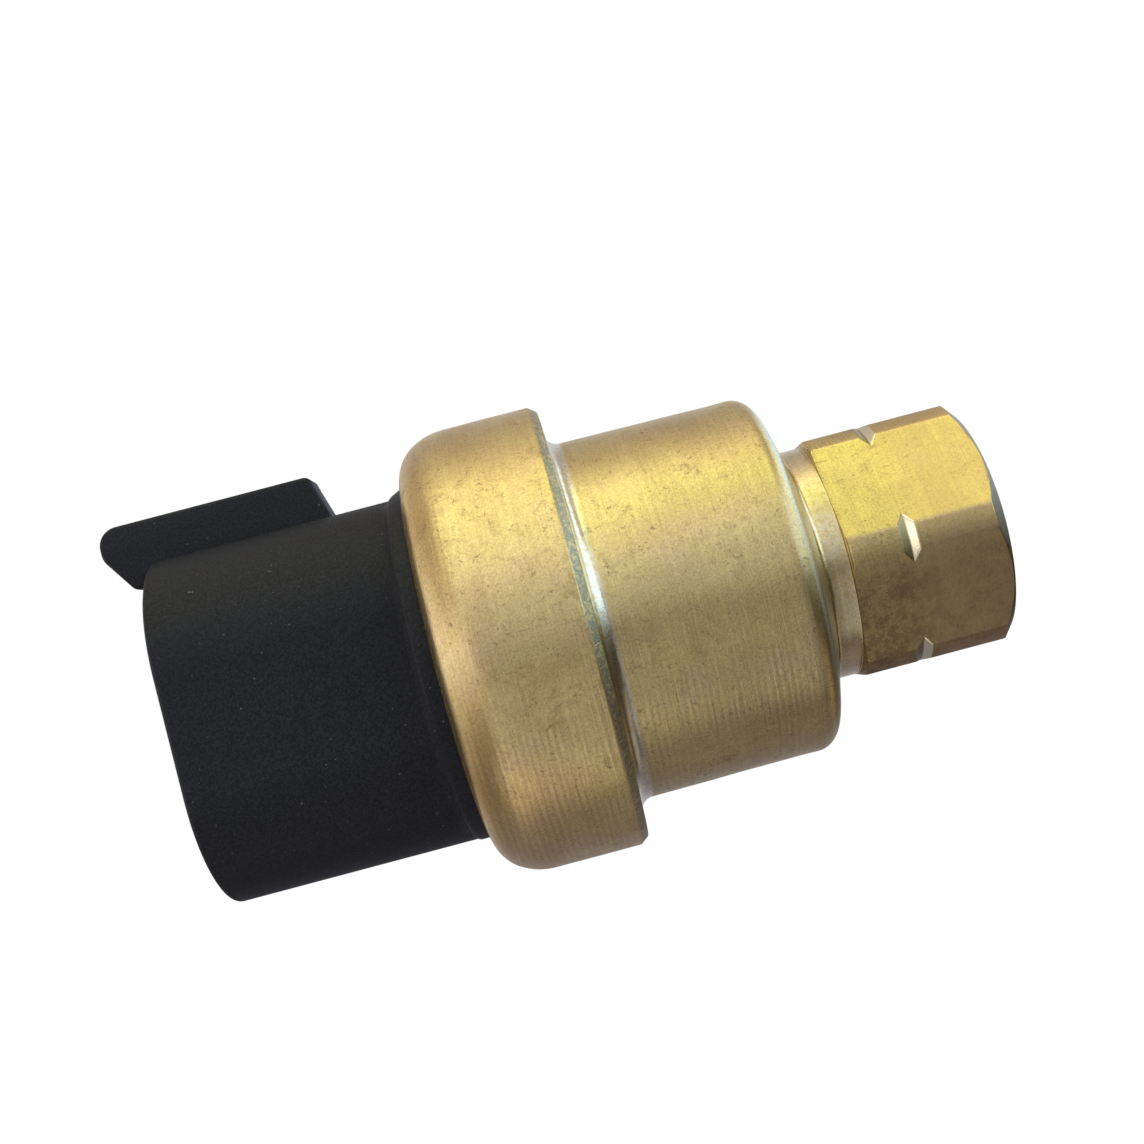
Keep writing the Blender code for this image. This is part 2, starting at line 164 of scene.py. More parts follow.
CAMERA_AT = Vector((0.0, -96.314, 28.543)) * MM
CAMERA_YAW = math.radians(-0.895)
CAMERA_PITCH = math.radians(2.188)
CAMERA_ROLL = math.radians(-14.788)
CAMERA_LENS = 44.58


def make_camera():
    """Looks along +Y with the part's axis lying across the picture: image right is -Z and image up is +X."""
    data = bpy.data.cameras.new("camera")
    data.lens = CAMERA_LENS
    data.sensor_width = 36.0
    data.clip_start = 0.005
    data.clip_end = 20.0
    across, ahead, above = Vector((0, 0, -1)), Vector((0, 1, 0)), Vector((1, 0, 0))
    right = across * math.cos(CAMERA_YAW) + ahead * math.sin(CAMERA_YAW)
    forward = ahead * math.cos(CAMERA_YAW) - across * math.sin(CAMERA_YAW)
    tipped = forward * math.cos(CAMERA_PITCH) + above * math.sin(CAMERA_PITCH)
    up = above * math.cos(CAMERA_PITCH) - forward * math.sin(CAMERA_PITCH)
    rolled_right = right * math.cos(CAMERA_ROLL) + up * math.sin(CAMERA_ROLL)
    rolled_up = up * math.cos(CAMERA_ROLL) - right * math.sin(CAMERA_ROLL)
    turn = Matrix((rolled_right, rolled_up, -tipped)).transposed()
    camera = bpy.data.objects.new("camera", data)
    camera.matrix_world = Matrix.Translation(CAMERA_AT) @ turn.to_4x4()
    bpy.context.scene.collection.objects.link(camera)
    bpy.context.scene.camera = camera


make_camera()


# ---------------------------------------------------------------- node helpers

class Tree:
    """Short calls for building a node tree."""

    def __init__(self, tree):
        self.tree = tree

    def node(self, kind, **settings):
        made = self.tree.nodes.new(kind)
        for key, value in settings.items():
            setattr(made, key, value)
        return made

    def put(self, socket, value):
        if hasattr(value, "is_linked"):
            self.tree.links.new(value, socket)
        else:
            socket.default_value = value

    def math(self, operation, first, second=0.0, third=0.0, clamp=False):
        made = self.node("ShaderNodeMath", operation=operation, use_clamp=clamp)
        for socket, value in zip(made.inputs, (first, second, third)):
            self.put(socket, value)
        return made.outputs[0]

    def axis(self, letter):
        """Position along one axis of the part, in metres."""
        split = self.node("ShaderNodeSeparateXYZ")
        self.put(split.inputs[0], self.node("ShaderNodeTexCoord").outputs["Object"])
        return split.outputs[letter]

    def zone(self, value, low, high, soft):
        """1 between low and high, falling to 0 over soft beyond them. All in metres."""
        rise = self.step(value, low - soft, low)
        return self.math("MULTIPLY", rise, self.step(value, high, high + soft, 1.0, 0.0))

    def coords(self, scale=(1, 1, 1), offset=(0, 0, 0), turn=(0, 0, 0)):
        made = self.node("ShaderNodeMapping")
        made.inputs["Rotation"].default_value = turn
        self.put(made.inputs["Vector"], self.node("ShaderNodeTexCoord").outputs["Object"])
        made.inputs["Scale"].default_value = scale
        made.inputs["Location"].default_value = offset
        return made.outputs[0]

    def noise(self, vector, scale, detail=4.0, roughness=0.55, distortion=0.0):
        made = self.node("ShaderNodeTexNoise")
        self.put(made.inputs["Vector"], vector)
        made.inputs["Scale"].default_value = scale
        made.inputs["Detail"].default_value = detail
        made.inputs["Roughness"].default_value = roughness
        made.inputs["Distortion"].default_value = distortion
        return made.outputs[0]

    def step(self, value, low, high, to_low=0.0, to_high=1.0):
        """Smooth step of value between low and high."""
        made = self.node("ShaderNodeMapRange", interpolation_type="SMOOTHSTEP")
        for socket, item in zip(made.inputs, (value, low, high, to_low, to_high)):
            self.put(socket, item)
        return made.outputs[0]

    def ramp(self, value, stops, interpolation="LINEAR"):
        made = self.node("ShaderNodeValToRGB")
        made.color_ramp.interpolation = interpolation
        elements = made.color_ramp.elements
        while len(elements) < len(stops):
            elements.new(0.5)
        for element, (position, colour) in zip(elements, stops):
            element.position = position
            element.color = (*colour, 1.0)
        self.put(made.inputs[0], value)
        return made.outputs[0]

    def mix(self, factor, first, second, blend="MIX"):
        made = self.node("ShaderNodeMix", data_type="RGBA", blend_type=blend)
        self.put(made.inputs["Factor"], factor)
        for socket, value in ((made.inputs[6], first), (made.inputs[7], second)):
            self.put(socket, (*value, 1.0) if isinstance(value, tuple) and len(value) == 3 else value)
        return made.outputs[2]

    def bump(self, height, distance, strength=1.0, normal=None):
        made = self.node("ShaderNodeBump")
        self.put(made.inputs["Height"], height)
        made.inputs["Distance"].default_value = distance
        made.inputs["Strength"].default_value = strength
        if normal is not None:
            self.put(made.inputs["Normal"], normal)
        return made.outputs[0]


def new_material(name):
    made = bpy.data.materials.new(name)
    made.use_nodes = True
    return Tree(made.node_tree), made.node_tree.nodes["Principled BSDF"], made


# ---------------------------------------------------------------- materials

def streaks(tree, fine, across):
    """Noise drawn out round the axis, as a cutting tool leaves it: quick along Z, slow round the part."""
    return tree.noise(tree.coords((across, across, fine)), 1.0, 3.0, 0.6)


RIPPLE_PITCH = 0.42


def turned_brass(name, bright, dull, tarnish_and_shade, roughness, marks, offset=0.0, zones=(), side=None, cones=()):
    """Turned or drawn brass: yellow skin, marks round the axis, brown specks, stains and scratches, with
    painted highlights, painted shade and painted glints where the zones, cones and side ask for them.

    zones holds (low, high, soft, colour, strength, roughness, painted_glints) for bands along Z, in
    millimetres; some bands are painted highlight or painted shade, and painted_glints strews near-white
    painted glints.
    side holds (from x, to x, top z, strength) for the fitting's darker -X side, in millimetres: tarnish
    colour in patches, partly real stain and partly painted shade.
    cones holds (low z, high z, radius at low z, slope, colour, strength, roughness) for sloping faces.
    """
    tree, shader, made = new_material(name)
    shift = (offset, offset * 0.7, offset * 1.3)
    z = tree.axis("Z")
    cloud = tree.noise(tree.coords((1, 1, 1), shift), 210.0, 5.0, 0.62, 0.4)
    patch = tree.noise(tree.coords((1, 1, 1), shift), 700.0, 5.0, 0.66, 0.8)
    speck = tree.noise(tree.coords((1, 1, 1), shift), 3300.0, 3.0, 0.6, 1.0)
    grit = tree.noise(tree.coords((1, 1, 1), shift), 7500.0, 3.0, 0.6)
    band = streaks(tree, 2600.0, 120.0)
    hair = streaks(tree, 9500.0, 260.0)
    tone = tree.math("ADD", tree.math("MULTIPLY", cloud, 0.75), tree.math("MULTIPLY", band, 0.25))
    skin = tree.mix(tree.step(tone, 0.38, 0.62), dull, bright)
    stain = tree.math("MULTIPLY", tree.step(patch, 0.52, 0.72), tree.step(cloud, 0.40, 0.62))
    dots = tree.math("MULTIPLY", tree.step(speck, 0.58, 0.66), tree.step(patch, 0.40, 0.58))
    scratch = tree.noise(tree.coords((500, 9000, 500), shift, (0.3, 0.0, 0.9)), 1.0, 1.0, 0.4)
    score = tree.noise(tree.coords((9000, 600, 600), shift, (0.0, 0.5, 0.4)), 1.0, 1.0, 0.4)
    lines = tree.math("MAXIMUM", tree.step(scratch, 0.755, 0.79), tree.step(score, 0.755, 0.79))
    dirt_and_shade = tree.math("MAXIMUM", tree.math("MULTIPLY", stain, 0.55), tree.math("MULTIPLY", dots, 0.62))
    dirt_and_shade = tree.math("MAXIMUM", dirt_and_shade, tree.math("MULTIPLY", lines, 0.4))
    # The -X side below the hex top takes the tarnish colour in uneven patches: partly real stain, partly
    # painted shade on the side the studio leaves dim.
    if side is not None:
        start, end, top, strength = side
        stain_and_shade = tree.step(tree.axis("X"), end * MM, start * MM, strength, 0.0)
        stain_and_shade = tree.math("MULTIPLY", stain_and_shade, tree.step(z, top * MM, (top + 0.1) * MM, 1.0, 0.0))
        side_mottle = tree.noise(tree.coords((1, 1, 1), shift, (0.2, 0.6, 0.3)), 800.0, 6.0, 0.74, 0.15)
        side_mottle = tree.math("ADD", tree.math("MULTIPLY", side_mottle, 0.6), tree.math("MULTIPLY", speck, 0.4))
        uneven = tree.step(side_mottle, 0.42, 0.58, 0.70, 1.18)
        dirt_and_shade = tree.math("MAXIMUM", dirt_and_shade, tree.math("MULTIPLY", stain_and_shade, uneven))
    blush = tree.noise(tree.coords((1, 1, 1), shift, (0.4, 0.2, 0.1)), 300.0, 4.0, 0.6)
    skin = tree.mix(tree.step(blush, 0.48, 0.72, 0.0, 0.4), skin, (0.74, 0.53, 0.33))
    colour = tree.mix(dirt_and_shade, skin, tarnish_and_shade)
    shade = tree.math("ADD", tree.math("MULTIPLY", grit, 0.72), tree.math("MULTIPLY", hair, 0.28))
    shade = tree.step(shade, 0.32, 0.66, 0.80, 1.13)
    colour = tree.mix(1.0, colour, shade, "MULTIPLY")
    worn = tree.math("ADD", tree.math("MULTIPLY", patch, 0.16), roughness - 0.09)
    worn = tree.math("ADD", worn, tree.math("MULTIPLY", dirt_and_shade, 0.2))
    pulse = tree.math("SINE", tree.math("MULTIPLY", z, 2 * math.pi / (RIPPLE_PITCH * MM)))
    low_side = tree.step(tree.axis("X"), -6 * MM, 0.0, 1.0, 0.15)
    rippled = tree.math("MULTIPLY", tree.step(blush, 0.42, 0.56), low_side)
    pulse = tree.math("MULTIPLY", tree.math("MULTIPLY", pulse, rippled), marks)
    colour = tree.mix(1.0, colour, tree.math("MULTIPLY_ADD", pulse, 0.16, 1.0), "MULTIPLY")
    height = tree.math("ADD", tree.math("MULTIPLY", speck, 0.5), tree.math("MULTIPLY", pulse, 0.25))
    for low, high, soft, tint, strength, gloss, painted_glints in zones:
        inside = tree.zone(z, low * MM, high * MM, soft * MM)
        ragged = tree.step(speck, 0.38, 0.56, 0.3, 1.0)
        share = tree.math("MULTIPLY", inside, tree.math("MULTIPLY", ragged, strength))
        colour = tree.mix(share, colour, tint)
        # Painted glints: near-white specks mixed into the colour.
        if painted_glints:
            glint = tree.math("MULTIPLY", tree.step(grit, 0.60, 0.66), inside)
            colour = tree.mix(tree.math("MULTIPLY", glint, painted_glints), colour, (0.97, 0.97, 0.90))
            height = tree.math("ADD", height, tree.math("MULTIPLY", tree.math("MULTIPLY", grit, inside), 1.5))
        aim = tree.math("SUBTRACT", gloss, worn)
        worn = tree.math("ADD", worn, tree.math("MULTIPLY", aim, inside))
    if cones:
        across = tree.math("POWER", tree.axis("X"), 2.0)
        radius = tree.math("SQRT", tree.math("ADD", across, tree.math("POWER", tree.axis("Y"), 2.0)))
    for low, high, start, slope, tint, strength, gloss in cones:
        expected = tree.math("MULTIPLY_ADD", z, slope, (start - slope * low) * MM)
        off = tree.math("ABSOLUTE", tree.math("SUBTRACT", radius, expected))
        inside = tree.math("MULTIPLY", tree.step(off, 0.02 * MM, 0.05 * MM, 1.0, 0.0), strength)
        inside = tree.math("MULTIPLY", inside, tree.zone(z, low * MM, high * MM, 0.02 * MM))
        colour = tree.mix(inside, colour, tint)
        worn = tree.math("ADD", worn, tree.math("MULTIPLY", tree.math("SUBTRACT", gloss, worn), inside))
    tree.put(shader.inputs["Base Color"], colour)
    shader.inputs["Metallic"].default_value = 1.0
    shader.inputs["Anisotropic"].default_value = 0.35
    tree.put(shader.inputs["Roughness"], worn)
    rough_skin = tree.bump(height, 0.00003, 0.5)
    marked = tree.bump(hair, 0.00002, marks, rough_skin)
    tree.put(shader.inputs["Normal"], tree.bump(band, 0.00003, marks * 0.8, marked))
    return made


def black_plastic(name):
    """Glass-filled moulding: near black, a fine uneven skin, and pale dust specks."""
    tree, shader, made = new_material(name)
    grain = tree.noise(tree.coords(), 2400.0, 4.0, 0.65)
    cloud = tree.noise(tree.coords(), 160.0, 4.0, 0.6)
    dust = tree.noise(tree.coords((1, 1, 1), (0.3, 0.1, 0.2)), 3300.0, 2.0, 0.4)
    base = tree.mix(cloud, (0.0085, 0.0100, 0.0150), (0.0140, 0.0148, 0.0185))
    specks = tree.math("MULTIPLY", tree.step(dust, 0.715, 0.77), tree.step(cloud, 0.3, 0.7))
    sand = tree.noise(tree.coords(), 6500.0, 3.0, 0.7)
    base = tree.mix(1.0, base, tree.step(sand, 0.34, 0.66, 0.35, 1.6), "MULTIPLY")
    base = tree.mix(tree.math("MULTIPLY", specks, 0.7), base, (0.20, 0.19, 0.18))
    tree.put(shader.inputs["Base Color"], base)
    tree.put(shader.inputs["Roughness"], tree.math("ADD", tree.math("MULTIPLY", cloud, 0.16), 0.46))
    shader.inputs["Specular IOR Level"].default_value = 0.24
    low = tree.bump(cloud, 0.0002, 0.12)
    tree.put(shader.inputs["Normal"], tree.bump(sand, 0.00003, 0.5, tree.bump(grain, 0.00003, 0.4, low)))
    return made


def plain_metal(name, first, second, roughness):
    """Small inner metal pieces: rolled or plated, with faint grain and cloudy wear."""
    tree, shader, made = new_material(name)
    cloud = tree.noise(tree.coords(), 480.0, 4.0, 0.6)
    grain = tree.noise(tree.coords((1, 1, 12)), 2600.0, 3.0, 0.6)
    tree.put(shader.inputs["Base Color"], tree.mix(cloud, first, second))
    shader.inputs["Metallic"].default_value = 1.0
    worn = tree.math("ADD", tree.math("MULTIPLY", cloud, 0.2), roughness - 0.08)
    tree.put(shader.inputs["Roughness"], worn)
    tree.put(shader.inputs["Normal"], tree.bump(grain, 0.00001, 0.4))
    return made


def plain_body(name, first, second, roughness, bump, scale):
    """Rubber, ceramic, film and pale plastic: two near tones, a fine grain and uneven gloss."""
    tree, shader, made = new_material(name)
    cloud = tree.noise(tree.coords(), scale, 4.0, 0.6)
    grain = tree.noise(tree.coords(), scale * 8, 3.0, 0.6)
    tree.put(shader.inputs["Base Color"], tree.mix(cloud, first, second))
    tree.put(shader.inputs["Roughness"], tree.math("ADD", tree.math("MULTIPLY", grain, 0.2), roughness - 0.1))
    tree.put(shader.inputs["Normal"], tree.bump(grain, bump, 0.5))
    return made


MATERIALS = {
    "fitting_brass": turned_brass(
        "fitting_brass", (0.80, 0.62, 0.25), (0.66, 0.50, 0.22), (0.19, 0.12, 0.065), 0.26, 0.15, 0.37,
        # Neck band paler than the brass: painted sheen standing for the bright reflection on the neck.
        [(10.26, 12.5, 0.05, (0.88, 0.76, 0.50), 0.75, 0.2, 0.0),
         (-0.5, 3.5, 5.0, (0.74, 0.50, 0.26), 0.5, 0.28, 0.0)],
        # Darker -X side of the hex: partly real stain, partly painted shade.
        (0.5, -2.6, 10.2, 0.68),
        # Hex end chamfer darkened: painted shade.
        [(0.0, HEX_CHAMFER, HEX_END_R, HEX_CHAMFER_SLOPE, (0.17, 0.14, 0.11), 0.85, 0.42),
         # Notch walls: the lower wall pale as a painted highlight, the upper wall dark as painted shade.
         (NOTCH_Z - NOTCH_HALF, NOTCH_Z - 0.02, HEX_R, -NOTCH_SLOPE, (0.96, 0.90, 0.62), 0.9, 0.14),
         (NOTCH_Z + 0.02, NOTCH_Z + NOTCH_HALF, HEX_R - NOTCH_DEPTH, NOTCH_SLOPE,
          (0.34, 0.27, 0.14), 0.85, 0.3)]),
    "body_brass": turned_brass(
        "body_brass", (0.76, 0.61, 0.27), (0.66, 0.51, 0.24), (0.25, 0.16, 0.09), 0.31, 0.4, 0.11,
        # Can shoulder band: greenish grey painted reflection, with painted glints.
        [(11.5, 13.15, 0.2, (0.64, 0.65, 0.54), 0.85, 0.38, 0.55),
         # Fillet next to the ring: near-white painted highlight.
         (25.85, 26.9, 0.3, (0.88, 0.87, 0.74), 0.8, 0.16, 0.0)]),
    "ring_brass": turned_brass(
        "ring_brass", (0.76, 0.60, 0.27), (0.66, 0.49, 0.23), (0.27, 0.17, 0.09), 0.32, 0.5, 0.53,
        # Ring's rear face band: dark grey painted shade, with painted glints.
        [(26.5, 27.12, 0.06, (0.31, 0.30, 0.20), 0.9, 0.4, 0.16),
         (36.34, 36.6, 0.06, (0.16, 0.09, 0.05), 0.8, 0.5, 0.0)]),
    "black_plastic": black_plastic("black_plastic"),
    "black_rubber": plain_body(
        "black_rubber", (0.012, 0.012, 0.012), (0.025, 0.024, 0.023), 0.6, 0.00002, 900.0),
    "steel": plain_metal("steel", (0.50, 0.50, 0.51), (0.64, 0.64, 0.64), 0.3),
    "pale_brass": plain_metal("pale_brass", (0.70, 0.53, 0.27), (0.78, 0.62, 0.34), 0.3),
    "spring_copper": plain_metal("spring_copper", (0.72, 0.38, 0.22), (0.80, 0.46, 0.28), 0.28),
    "contact_silver": plain_metal("contact_silver", (0.80, 0.79, 0.76), (0.88, 0.87, 0.85), 0.22),
    "tinned_brass": plain_metal("tinned_brass", (0.66, 0.64, 0.58), (0.76, 0.74, 0.70), 0.3),
    "amber_film": plain_body("amber_film", (0.50, 0.24, 0.04), (0.60, 0.32, 0.07), 0.3, 0.000005, 400.0),
    "white_plastic": plain_body("white_plastic", (0.70, 0.68, 0.61), (0.78, 0.76, 0.70), 0.5, 0.00001, 600.0),
    "ceramic": plain_body("ceramic", (0.82, 0.80, 0.74), (0.88, 0.86, 0.82), 0.42, 0.00001, 700.0),
}


# ---------------------------------------------------------------- mesh helpers, in millimetres

def corner_arc(before, at, after, radius, count):
    """The corner at a point rounded by a radius, as points along the arc."""
    before, at, after = np.array(before), np.array(at), np.array(after)
    first, second = before - at, after - at
    reach_1, reach_2 = np.linalg.norm(first), np.linalg.norm(second)
    first, second = first / reach_1, second / reach_2
    half = math.acos(max(-1.0, min(1.0, float(first @ second)))) / 2
    if half > math.radians(88):
        return [tuple(at)]
    cut = min(radius / math.tan(half), reach_1 * 0.49, reach_2 * 0.49)
    radius = cut * math.tan(half)
    middle = at + (first + second) / np.linalg.norm(first + second) * radius / math.sin(half)
    start, end = at + first * cut - middle, at + second * cut - middle
    sweep = math.pi - 2 * half
    side = 1.0 if start[0] * end[1] - start[1] * end[0] > 0 else -1.0
    points = []
    for i in range(count + 1):
        angle = side * sweep * i / count
        turn = np.array([[math.cos(angle), -math.sin(angle)], [math.sin(angle), math.cos(angle)]])
        points.append(tuple(middle + turn @ start))
    return points


def rounded(points, closed=True, count=4):
    """Profile from (r, z, radius) corners, each rounded by its radius."""
    flat = [(p[0], p[1]) for p in points]
    result = []
    for i, point in enumerate(points):
        ends = not closed and i in (0, len(points) - 1)
        if ends or len(point) < 3 or point[2] <= 0:
            result.append(flat[i])
        else:
            result += corner_arc(flat[i - 1], flat[i], flat[(i + 1) % len(flat)], point[2], count)
    return result


def densified(profile, step, closed=True):
    """The profile with points added so that none is further than step(r, z) from the last."""
    result = []
    pairs = list(zip(profile, profile[1:] + profile[:1]))
    for (r0, z0), (r1, z1) in pairs if closed else pairs[:-1]:
        middle = step((r0 + r1) / 2, (z0 + z1) / 2)
        count = max(1, math.ceil(math.hypot(r1 - r0, z1 - z0) / middle))
        for i in range(count):
            t = i / count
            result.append((r0 + (r1 - r0) * t, z0 + (z1 - z0) * t))
    return result if closed else result + [profile[-1]]


def grid_object(name, points, material, closed_rows):
    """Mesh from rows of points round the axis, shape (rows, columns, 3). Open rows get a cap at each end."""
    rows, columns = points.shape[:2]
    mesh = bpy.data.meshes.new(name)
    last = rows if closed_rows else rows - 1
    row = np.arange(last)[:, None]
    column = np.arange(columns)[None, :]
    beside = (column + 1) % columns
    here, above = row * columns, (row + 1) % rows * columns
    quads = np.stack([here + column, here + beside, above + beside, above + column], -1)
    faces = quads.reshape(-1, 4).tolist()
    if not closed_rows:
        faces.append(list(range(columns))[::-1])
        faces.append(list(range((rows - 1) * columns, rows * columns)))
    mesh.from_pydata((points.reshape(-1, 3) * MM).tolist(), [], faces)
    bm = bmesh.new()
    bm.from_mesh(mesh)
    bmesh.ops.remove_doubles(bm, verts=bm.verts, dist=1e-8)
    bmesh.ops.recalc_face_normals(bm, faces=bm.faces)
    bm.to_mesh(mesh)
    bm.free()
    return shown(name, mesh, material)


def shown(name, mesh, material, sharp=35.0):
    obj = bpy.data.objects.new(name, mesh)
    bpy.context.scene.collection.objects.link(obj)
    mesh.materials.clear()
    mesh.materials.append(MATERIALS[material])
    mesh.shade_smooth()
    mesh.set_sharp_from_angle(angle=math.radians(sharp))
    return obj


def even_columns(count):
    return np.linspace(0.0, 2 * math.pi, count, endpoint=False)


def lathe(name, profile, material, columns=192, shape=None, closed=True):
    """Solid of revolution. shape(angle, r, z) may return another radius for each point."""
    angle = columns if isinstance(columns, np.ndarray) else even_columns(columns)
    r = np.array([p[0] for p in profile])[:, None]
    z = np.array([p[1] for p in profile])[:, None] + 0 * angle[None, :]
    angle = angle[None, :] + 0 * r
    r = r + 0 * angle
    if shape is not None:
        r = shape(angle, r, z)
    points = np.stack([r * np.cos(angle), r * np.sin(angle), z], -1)
    return grid_object(name, points, material, closed)


def place(obj, node, body=SWITCH):
    """Puts a finished piece on the body it rides on and hides the frame part it stands for."""
    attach(obj, body)
    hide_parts(node)
    return obj


def wave(angle, z, seed):
    """Small smooth irregularity in -1..1, from a few sines, the same each run."""
    total = 0 * angle
    for k in range(1, 6):
        turns = 3 * k + (seed * k) % 5
        total = total + np.sin(turns * angle + seed * 1.7 * k + z * (0.35 + 0.21 * k)) / 5
    return total


def soft_min(a, b, width):
    return -width * np.logaddexp(-a / width, -b / width)


# ---------------------------------------------------------------- port fitting

def hex_columns():
    """Angles round the fitting, close together where the flats meet the turned corners."""
    sector = np.concatenate([
        np.linspace(-16.5, 16.5, 10),
        np.linspace(17.4, 26.4, 34),
        np.linspace(27.2, 32.8, 7),
        np.linspace(33.6, 42.6, 34),
    ])
    every = np.concatenate([sector + 60.0 * k for k in range(6)])
    return np.radians(every) + HEX_TURN


def fitting_shape(angle, r, z):
    """Hex flats on the turned outside, a V notch across each corner, and the female thread in the bore."""
    from_flat = (angle - HEX_TURN + math.pi / 6) % (math.pi / 3) - math.pi / 6
    flat = HEX_HALF_FLAT / np.cos(from_flat)
    outside = (r > 6.6) & (z < HEX_TOP + 0.02)
    burr = 0.012 * wave(angle, z * 3, 3)
    hexed = soft_min(r, flat + burr * 0.4, 0.022)
    depth = NOTCH_DEPTH * np.clip(1 - np.abs(z - NOTCH_Z) / NOTCH_HALF, 0, 1)
    notched = soft_min(hexed, HEX_R - depth + 10 * (depth <= 0), 0.01)
    r = np.where(outside, notched, r)
    turn = z / THREAD_PITCH - angle / (2 * math.pi)
    tooth = np.abs(turn % 1.0 - 0.5) * 2
    groove = np.clip((tooth - 0.25) / 0.62, 0, 1)
    fade = np.clip((z - THREAD_START + 0.5) / 0.7, 0, 1) * np.clip((THREAD_END - z) / 0.8, 0, 1)
    in_bore = (r < 5.7) & (r > 4.85) & (z > 0.05) & (z < THREAD_END)
    threaded = np.maximum(r, THREAD_MINOR + THREAD_DEPTH * groove * fade)
    return np.where(in_bore, threaded, r)


def fitting_step(r, z):
    """How far apart the profile's points may be: close in the thread, the notches and the end chamfer."""
    if r < 5.9 and z < THREAD_END:
        return 0.075
    if r > 7.0 and abs(z - NOTCH_Z) < NOTCH_REACH:
        return 0.06
    if r > 7.0 and z < 1.3:
        return 0.07
    if r > 7.0 and z < HEX_TOP:
        return 0.4
    return 0.5


def port_fitting():
    """Turned fitting: spigot and flange inside the body, a cove up to the body, neck, hex and port."""
    cove_r, cove_z = 8.6, 12.06
    outline = rounded([
        (GAS_HOLE_R, FITTING_TOP, 0.1), (FITTING_FLANGE_R, FITTING_TOP, 0.3),
        (FITTING_FLANGE_R, FITTING_FLANGE_Z, 0.2), (FITTING_SPIGOT_R, FITTING_FLANGE_Z, 0.1),
        (FITTING_SPIGOT_R, cove_z + 0.14, 0.1), (cove_r, cove_z + 0.14, 0.05),
        (cove_r, cove_z, 0.03), (NECK_R, cove_z - 0.13, 0.65),
        (NECK_R, HEX_TOP + 0.05, 0.05), (NECK_R + 0.06, HEX_TOP, 0.04),
        (HEX_R, HEX_TOP, 0.12), (HEX_R, NOTCH_Z + NOTCH_REACH), (HEX_R, NOTCH_Z - NOTCH_REACH),
        (HEX_R, HEX_CHAMFER, 0.15), (HEX_END_R, 0.0, 0.12), (PORT_COUNTERSINK_R, 0.0, 0.08),
        (THREAD_MINOR, THREAD_START, 0.1), (THREAD_MINOR, PORT_DEPTH, 0.2), (GAS_HOLE_R, PORT_DEPTH, 0.1),
    ])
    profile = densified(outline, fitting_step)
    fitting = lathe("fitting_hex", profile, "fitting_brass", hex_columns(), fitting_shape)
    place(fitting, "port_fitting")


# ---------------------------------------------------------------- body and ring

def body_can():
    """Drawn cup: sloped end, rounded corner, straight wall, and a fillet out to the flange in the ring."""
    inner = CAN_R - CAN_WALL
    corner_z = CAN_BASE + (CAN_R - NECK_R) * math.tan(CAN_END_SLOPE)
    outline = rounded([
        (inner, CAN_HIGH.z, 0.15), (CAN_FLANGE_R, CAN_HIGH.z, 0.2), (CAN_FLANGE_R, CAN_FLANGE_Z, 0.15),
        (CAN_THROAT_R, CAN_FLANGE_Z, 0.1), (CAN_THROAT_R, CAN_FILLET_TOP + 0.04),
        *arc_points(CAN_R + 0.05 + CAN_FILLET_R, CAN_FILLET_TOP - CAN_FILLET_R, CAN_FILLET_R, 90, 180, 14),
        (CAN_R - 0.06, 15.5, 2.0), (CAN_R - 0.02, corner_z, CAN_CORNER_R),
        (NECK_R + 0.02, CAN_BASE + 0.02, 0.12),
        (NECK_R - 0.06, CAN_BASE, 0.03), (CAN_HOLE_R, CAN_BASE, 0.1), (CAN_HOLE_R, CAN_FLOOR_Z, 0.1),
        (inner, CAN_FLOOR_Z, 0.6),
    ], count=10)
    profile = densified(outline, lambda r, z: 0.8)

    def uneven(angle, r, z):
        return r + 0.008 * wave(angle, z, 2) * (r > 12.0)

    place(lathe("body_cup", profile, "body_brass", 288, uneven), "body_can")


def crimp_ring():
    """Rolled ring: flat rear face with a broken edge, straight wall and a full rounded front."""
    mouth, shoulder = RING_MOUTH, RING_SHOULDER
    reach, rise = RING_R - mouth, RING_TOP - shoulder
    front = []
    for i in range(21):
        angle = math.radians(90 - 90 * i / 20)
        front.append((mouth + reach * math.cos(angle), shoulder + rise * math.sin(angle)))
    rear = rounded([
        (RING_R, shoulder - 1.0), (RING_R, RING_BASE + RING_CHAMFER_Z, 0.12),
        (RING_R - RING_CHAMFER_R, RING_BASE, 0.1), (RING_THROAT_R, RING_BASE, 0.08),
        (RING_THROAT_R, RING_STEP_Z, 0.1), (RING_R - RING_WALL, RING_STEP_Z, 0.2),
        (RING_R - RING_WALL, shoulder - 1.0),
    ], closed=False)
    inside = []
    for i in range(13):
        angle = math.radians(90 * i / 12)
        across, along = (reach - RING_WALL) * math.cos(angle), (rise - RING_WALL) * math.sin(angle)
        inside.append((mouth + across, shoulder + along))
    profile = densified(front + rear + inside, lambda r, z: 0.7)

    def uneven(angle, r, z):
        rear_edge = np.clip(1 - np.abs(z - RING_BASE - 0.3) / 0.5, 0, 1) * (r > 14.6)
        lip = np.clip((z - 35.6) / 1.0, 0, 1)
        r = r - 0.012 * (1 + wave(angle, z, 4)) * (r > 14.6) * (1 - rear_edge)
        r = r - 0.03 * rear_edge * np.abs(wave(angle * 3, z, 9))
        return r - 0.03 * lip * np.abs(wave(angle, 0 * z, 5))

    place(lathe("rolled_ring", profile, "ring_brass", 288, uneven), "crimp_ring")


# ---------------------------------------------------------------- connector housing

